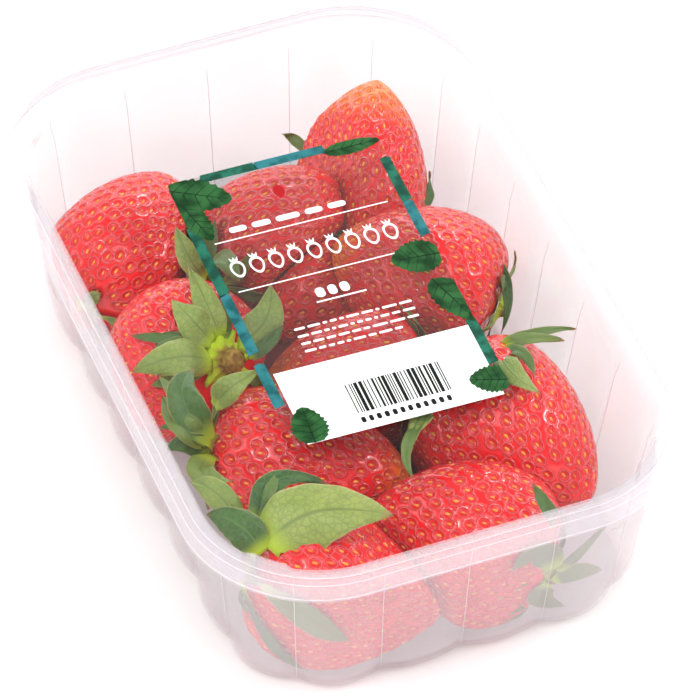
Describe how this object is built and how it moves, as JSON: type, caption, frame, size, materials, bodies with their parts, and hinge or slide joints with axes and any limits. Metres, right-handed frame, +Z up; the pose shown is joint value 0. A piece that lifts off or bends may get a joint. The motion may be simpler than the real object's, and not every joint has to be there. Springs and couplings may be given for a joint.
{
  "type": "punnet of strawberries",
  "caption": "Sealed punnet of strawberries: a frosted plastic tray with a flanged rim and fluted walls, fresh berries, clear film and a plain label.",
  "frame": {"origin": "middle of the tray's base, on the surface it stands on", "axes": "+Z up, +Y along the tray's length towards the head of the label, +X across it"},
  "size_m": [0.0976, 0.1476, 0.0391],
  "materials": {
    "tray_plastic": "frosted, semi-clear, thermoformed",
    "berry_flesh": "moist, softly glossy",
    "clear_film": "clear, glossy",
    "label_print": "clear sticker with printed green frame and white band"
  },
  "bodies": {
    "root": {"tray": "tray_plastic", "berries": "berry_flesh", "film": "clear_film", "label": "label_print"}
  },
  "joints": []
}
